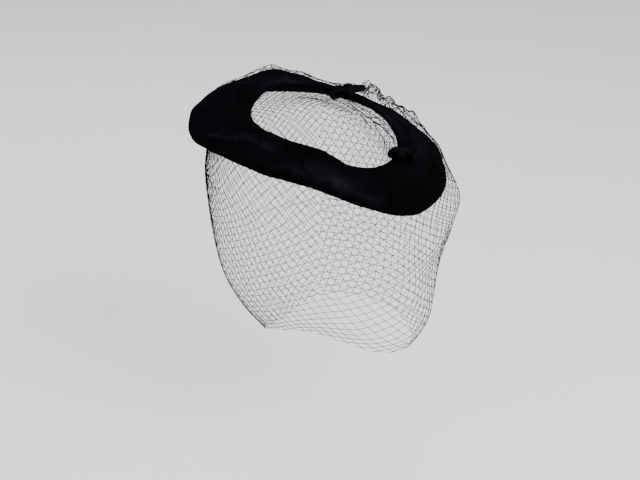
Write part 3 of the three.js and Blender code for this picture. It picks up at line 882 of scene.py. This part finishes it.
def squared(angle, power):
    """A rounded rectangle's two coordinates at an angle: cosine and sine raised to a power, signs kept."""
    c, s = np.cos(angle), np.sin(angle)
    return np.sign(c) * np.abs(c) ** power, np.sign(s) * np.abs(s) ** power


def loop_normals(x, z):
    """Outward normals of a closed loop walked against the clock."""
    dx, dz = np.roll(x, -1) - np.roll(x, 1), np.roll(z, -1) - np.roll(z, 1)
    length = np.hypot(dx, dz)
    return dz / length, -dx / length


def make_ribbon(bow):
    """A strip in two loops: its middle line is as high as the waist at the knot, swells to the belly and closes at
    the tip by a root of 1 less a power of the share of the length. The first loop is longer, and droops with the square
    of that share. A rounded section is carried along the line, narrower and pleated at the knot, with its edges curled
    in. The loops close towards both edges of the strip."""
    turn = 2 * np.pi * np.arange(RIBBON_STEPS) / RIBBON_STEPS
    share = np.cos(turn)
    out = np.abs(share)
    belly = np.where(share > 0, bow["belly"], bow["other"])
    tip = np.where(share > 0, bow["tip"], bow["other_tip"])
    swell = RIBBON["waist"] - RIBBON["wall"] / 2 + (belly - RIBBON["waist"]) * smooth(out, *RIBBON_SETS["swell"])
    length = np.where(share > 0, bow["longer"], 1) * bow["half"] - RIBBON["wall"] / 2
    droop = np.where(share > 0, bow["droop"], 0) * out**2
    x = length * share
    z = np.sign(np.sin(turn)) * swell * np.sqrt(np.maximum(1 - out**tip, 0)) - droop
    normal_x, normal_z = loop_normals(x, z)
    v, n = squared(2 * np.pi * np.arange(STRIP_STEPS) / STRIP_STEPS, RIBBON["corner"])
    near = (1 - smooth(out, *RIBBON_SETS["pleats"]))[:, None]
    pleats = near * sum(h * np.sin(waves * np.pi * v + p) for waves, p, h in RIBBON_PLEATS)[None, :]
    curl = -RIBBON["curl"] * (1 - near) * (v**4)[None, :]
    off = RIBBON["wall"] / 2 * n[None, :] + pleats + curl
    inward = smooth(np.abs(v), *CLOSING_EDGE)[None, :]
    closing = 1 - RIBBON["closing"] * inward * smooth(out, *RIBBON_SETS["closing"])[:, None]
    widening = (1 - RIBBON["neck"]) * smooth(out, *RIBBON_SETS["neck"])
    half_width = RIBBON["width"] / 2 * (RIBBON["neck"] + widening - RIBBON["tip"] * smooth(out, *RIBBON_SETS["tip"]))
    middle, along, across, up = bow_frame(bow)
    points = middle + MM * (
        (x[:, None] + normal_x[:, None] * off)[..., None] * along
        + (z[:, None] * closing + normal_z[:, None] * off)[..., None] * up
        + (half_width[:, None] * v[None, :])[..., None] * across
    )
    faces = grid_faces(RIBBON_STEPS, STRIP_STEPS, True, True)
    ribbon = mesh_piece(bow["name"] + "_strip", points, faces, BOW_VELVET, (bow["name"] + "_ribbon",))
    return ribbon


def make_knot(bow):
    """A band round the waist: a lens-shaped section with two pleats, carried round a rounded rectangle."""
    turn = 2 * np.pi * np.arange(KNOT_STEPS) / KNOT_STEPS
    c, s = squared(turn, KNOT["corner"])
    half = KNOT["wall"] / 2
    y, z = (KNOT["half_width"] - half) * c, (KNOT["half_height"] - half) * s
    normal_y, normal_z = loop_normals(y, z)
    w, n = squared(2 * np.pi * np.arange(BAND_STEPS) / BAND_STEPS, KNOT["edge"])
    pleats = KNOT_PLEATS["height"] * np.sin(KNOT_PLEATS["waves"] * np.pi * w + KNOT_PLEATS["phase"])[None, :]
    uneven = KNOT_PLEATS["steady"] + (1 - KNOT_PLEATS["steady"]) * np.sin(KNOT_PLEATS["round"] * turn)
    pleats = pleats * uneven[:, None]
    off = half * n[None, :] + pleats * (n > 0)[None, :]
    middle, along, across, up = bow_frame(bow)
    points = middle + MM * (
        (-KNOT["length"] / 2 * w)[None, :, None] * along
        + (y[:, None] + normal_y[:, None] * off)[..., None] * across
        + (z[:, None] + normal_z[:, None] * off)[..., None] * up
    )
    faces = grid_faces(KNOT_STEPS, BAND_STEPS, True, True)
    knot = mesh_piece(bow["name"] + "_band", points, faces, BOW_VELVET, (bow["name"] + "_knot",))
    return knot


def make_bows():
    """Both bows, each a looped strip and the band that ties it."""
    for row in BOWS:
        bow = dict(zip(BOW_COLUMNS, row))
        ribbon, knot = make_ribbon(bow), make_knot(bow)


# Camera, floor and light

# The camera, in degrees, metres and pixels, the picture's size and the pixel of the hat's origin.
CAMERA = {"azimuth": -45, "pitch": 19.7, "distance": 1.2, "focal_px": 1535}
IMAGE = {"width": 640, "height": 480}
ORIGIN_PX = (318, 137)
SENSOR = 36
FLOOR = {"z": -0.265, "half": 4.0}


def make_camera():
    """A camera that puts the hat's origin on its pixel, looking along an azimuth and down by a pitch."""
    turn, pitch = math.radians(CAMERA["azimuth"]), math.radians(CAMERA["pitch"])
    right = np.array([math.cos(turn), math.sin(turn), 0])
    level = np.array([-math.sin(turn), math.cos(turn), 0])
    up = math.sin(pitch) * level + math.cos(pitch) * np.array([0, 0, 1])
    ahead = math.cos(pitch) * level - math.sin(pitch) * np.array([0, 0, 1])
    aside = (ORIGIN_PX[0] - IMAGE["width"] / 2) / CAMERA["focal_px"]
    above = (IMAGE["height"] / 2 - ORIGIN_PX[1]) / CAMERA["focal_px"]
    place = -CAMERA["distance"] * (ahead + aside * right + above * up)
    data = bpy.data.cameras.new("camera")
    data.sensor_width = SENSOR
    data.lens = CAMERA["focal_px"] * SENSOR / IMAGE["width"]
    camera = bpy.data.objects.new("camera", data)
    matrix = np.eye(4)
    matrix[:3, 0], matrix[:3, 1], matrix[:3, 2], matrix[:3, 3] = right, up, -ahead, place
    camera.matrix_world = Matrix(matrix.tolist())
    bpy.context.scene.collection.objects.link(camera)
    bpy.context.scene.camera = camera


# Soft lights: bearing of each, height, distance and size in metres, and power in watts. All are aimed at one height.
LIGHT_COLUMNS = ("name", "bearing", "height", "distance", "size", "power")
LIGHTS = (
    ("key", 352, 0.9, 1.3, 0.8, 34),
    ("fill", 250, 0.8, 1.5, 1.2, 8),
    ("back", 160, 1.2, 1.2, 0.8, 10),
)
LIGHT_AIM = (0, 0, -0.06)
SURROUND = {"color": (0.92, 0.94, 1.0, 1), "strength": 0.95}


def make_lights():
    """Square area lights aimed at the hat, and a pale surround."""
    for row in LIGHTS:
        lamp = dict(zip(LIGHT_COLUMNS, row))
        data = bpy.data.lights.new(lamp["name"], "AREA")
        data.size, data.energy = lamp["size"], lamp["power"]
        light = bpy.data.objects.new(lamp["name"], data)
        place = polar(lamp["bearing"], lamp["distance"], lamp["height"])
        light.location = place
        aim = unit(place - np.array(LIGHT_AIM))
        light.rotation_euler = (math.acos(aim[2]), 0, math.atan2(aim[1], aim[0]) + math.pi / 2)
        bpy.context.scene.collection.objects.link(light)
    world = bpy.data.worlds.new("surround")
    world.use_nodes = True
    background = world.node_tree.nodes["Background"]
    background.inputs["Color"].default_value = SURROUND["color"]
    background.inputs["Strength"].default_value = SURROUND["strength"]
    bpy.context.scene.world = world


def make_floor():
    """A wide pale floor below the hat."""
    corners = [(x * FLOOR["half"], y * FLOOR["half"], FLOOR["z"]) for x, y in ((-1, -1), (1, -1), (1, 1), (-1, 1))]
    mesh = bpy.data.meshes.new("floor")
    mesh.from_pydata(corners, [], [[0, 1, 2, 3]])
    mesh.materials.append(make_floor_paper())
    floor = bpy.data.objects.new("floor", mesh)
    bpy.context.scene.collection.objects.link(floor)


make_camera()
make_lights()
make_floor()
make_ring()
make_veil()
make_crown()
make_bows()
